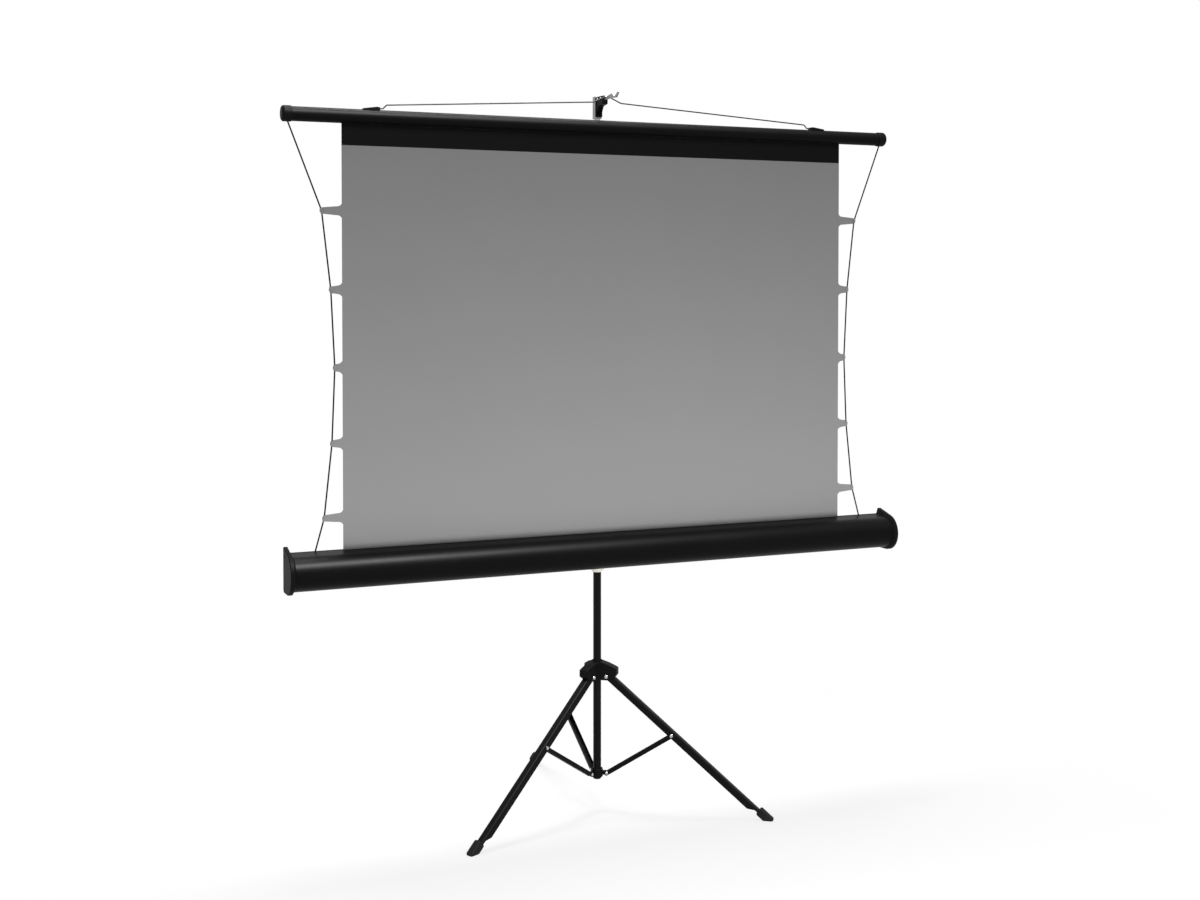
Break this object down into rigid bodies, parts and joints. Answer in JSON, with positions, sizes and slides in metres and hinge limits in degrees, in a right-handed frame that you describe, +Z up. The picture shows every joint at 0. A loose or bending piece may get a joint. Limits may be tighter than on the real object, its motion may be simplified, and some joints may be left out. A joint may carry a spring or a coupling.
{
  "type": "portable projection screen",
  "caption": "Free-standing projection screen: a sheet pulled from a roller case and hooked to a telescopic mast on a folding tripod with taut side cords",
  "frame": {"origin": "on the floor, under the column's axis", "axes": "+X along the screen to its right seen from the front, +Y away from the viewer's side (the screen faces -Y), +Z up"},
  "size_m": [1.524, 0.68, 1.7],
  "materials": {
    "black_paint": "satin black paint",
    "case_paint": "semi-gloss black paint",
    "black_moulding": "satin black moulded plastic",
    "nylon": "natural ivory nylon",
    "zinc": "zinc-plated steel",
    "steel_wire": "drawn steel",
    "rivet": "bright rivet steel",
    "rubber": "dark olive-grey rubber",
    "screen_grey": "matt grey coated screen cloth",
    "screen_black": "matt black coated cloth",
    "cord_black": "black braided cord",
    "mast_black": "gloss black paint"
  },
  "bodies": {
    "stand": {"column_tube": "mast_black", "column_plug": "black_moulding", "stay_collar": "black_moulding", "stay_pins": "rivet", "mast_clamp": "black_moulding"},
    "hub": {"leg_hub": "black_moulding", "leg_pivot_rivets": "rivet"},
    "bush": {"slide_bush": "nylon"},
    "case_unit": {"carriage": "black_moulding", "case_bracket": "black_paint", "pivot_bolt": "zinc", "pivot_washer": "nylon", "bracket_rivets": "rivet", "case_shell": "case_paint", "case_end_left": "black_moulding", "case_end_right": "black_moulding", "case_end_screws": "zinc", "idle_pin": "zinc", "spring_arbor": "zinc", "roller_spring": "steel_wire", "screen_sheet": "screen_grey", "screen_leader": "screen_black", "tension_cord_left": "cord_black", "tension_cord_right": "cord_black"},
    "case_lock": {"case_lock_knob": "black_moulding", "case_lock_screw": "zinc"},
    "mast_lock": {"mast_lock_knob": "black_moulding", "mast_lock_screw": "zinc"},
    "roller": {"roller_tube": "zinc", "roller_plug_left": "black_moulding", "roller_plug_right": "black_moulding", "fabric_roll": "screen_grey"},
    "mast_middle": {"mast_lower_tube": "zinc", "mast_joint_ring": "black_moulding"},
    "mast_top": {"mast_upper_tube": "zinc", "mast_head": "zinc", "hook_bracket": "black_moulding", "hook_arm": "zinc", "hook_rivets": "rivet", "top_bar": "black_paint", "bar_end_left": "black_moulding", "bar_end_right": "black_moulding", "leader_rod": "black_moulding", "bail_clips": "black_moulding", "bail_wire": "steel_wire"},
    "left_leg": {"leg_left": "black_paint", "foot_left": "rubber", "leg_rivet_left": "rivet"},
    "left_stay": {"stay_left": "black_paint", "stay_rivets_left": "rivet"},
    "right_leg": {"leg_right": "black_paint", "foot_right": "rubber", "leg_rivet_right": "rivet"},
    "right_stay": {"stay_right": "black_paint", "stay_rivets_right": "rivet"},
    "rear_leg": {"leg_rear": "black_paint", "foot_rear": "rubber", "leg_rivet_rear": "rivet"},
    "rear_stay": {"stay_rear": "black_paint", "stay_rivets_rear": "rivet"}
  },
  "joints": [
    {"name": "hub_slide", "type": "slide", "parent": "stand", "child": "hub", "axis": [0, 0, 1], "range_m": [0, 0.15887]},
    {"name": "left_leg_swing", "type": "hinge", "parent": "hub", "child": "left_leg", "pos_m": [-0.02175, -0.01014, 0.32189], "axis": [0.4226, -0.9063, 0], "range_deg": [0, 49.51]},
    {"name": "left_stay_swing", "type": "hinge", "parent": "left_leg", "child": "left_stay", "pos_m": [-0.16406, -0.0765, 0.18778], "axis": [0.4226, -0.9063, 0], "range_deg": [-107.2, 0]},
    {"name": "right_leg_swing", "type": "hinge", "parent": "hub", "child": "right_leg", "pos_m": [0.01966, -0.01377, 0.32189], "axis": [0.5736, 0.8192, 0], "range_deg": [0, 49.51]},
    {"name": "right_stay_swing", "type": "hinge", "parent": "right_leg", "child": "right_stay", "pos_m": [0.14829, -0.10383, 0.18778], "axis": [0.5736, 0.8192, 0], "range_deg": [-107.2, 0]},
    {"name": "rear_leg_swing", "type": "hinge", "parent": "hub", "child": "rear_leg", "pos_m": [-0.00042, 0.024, 0.32189], "axis": [-0.9998, -0.0175, 0], "range_deg": [0, 49.51]},
    {"name": "rear_stay_swing", "type": "hinge", "parent": "rear_leg", "child": "rear_stay", "pos_m": [-0.00316, 0.181, 0.18778], "axis": [-0.9998, -0.0175, 0], "range_deg": [-107.2, 0]},
    {"name": "case_slide", "type": "slide", "parent": "stand", "child": "bush", "axis": [0, 0, 1], "range_m": [-0.03, 0.03]},
    {"name": "screen_swivel", "type": "hinge", "parent": "bush", "child": "case_unit", "pos_m": [0, 0, 0.6], "axis": [0, 0, 1], "continuous": true},
    {"name": "case_knob_turn", "type": "hinge", "parent": "case_unit", "child": "case_lock", "pos_m": [0, 0.03, 0.606], "axis": [0, 1, 0], "range_deg": [0, 360]},
    {"name": "mast_lower_slide", "type": "slide", "parent": "case_unit", "child": "mast_middle", "axis": [0, 0, 1], "range_m": [-0.4555, 0], "deforming": ["screen_sheet", "screen_leader", "tension_cord_left", "tension_cord_right"]},
    {"name": "mast_upper_slide", "type": "slide", "parent": "mast_middle", "child": "mast_top", "axis": [0, 0, 1], "range_m": [-0.4555, 0]},
    {"name": "roller_spin", "type": "hinge", "parent": "case_unit", "child": "roller", "pos_m": [0, -0.092, 0.63374], "axis": [1, 0, 0], "range_deg": [-1632, 0]},
    {"name": "mast_knob_turn", "type": "hinge", "parent": "stand", "child": "mast_lock", "pos_m": [0, 0.03, 0.678], "axis": [0, 1, 0], "range_deg": [0, 360]}
  ],
  "couplings": [
    {"joint": "left_leg_swing", "follows": "hub_slide", "rad_per_m": 5.4382},
    {"joint": "left_stay_swing", "follows": "hub_slide", "rad_per_m": -11.776},
    {"joint": "right_leg_swing", "follows": "hub_slide", "rad_per_m": 5.4382},
    {"joint": "right_stay_swing", "follows": "hub_slide", "rad_per_m": -11.776},
    {"joint": "rear_leg_swing", "follows": "hub_slide", "rad_per_m": 5.4382},
    {"joint": "rear_stay_swing", "follows": "hub_slide", "rad_per_m": -11.776},
    {"joint": "mast_upper_slide", "follows": "mast_lower_slide", "ratio": 1},
    {"joint": "roller_spin", "follows": "mast_lower_slide", "rad_per_m": 62.5}
  ]
}
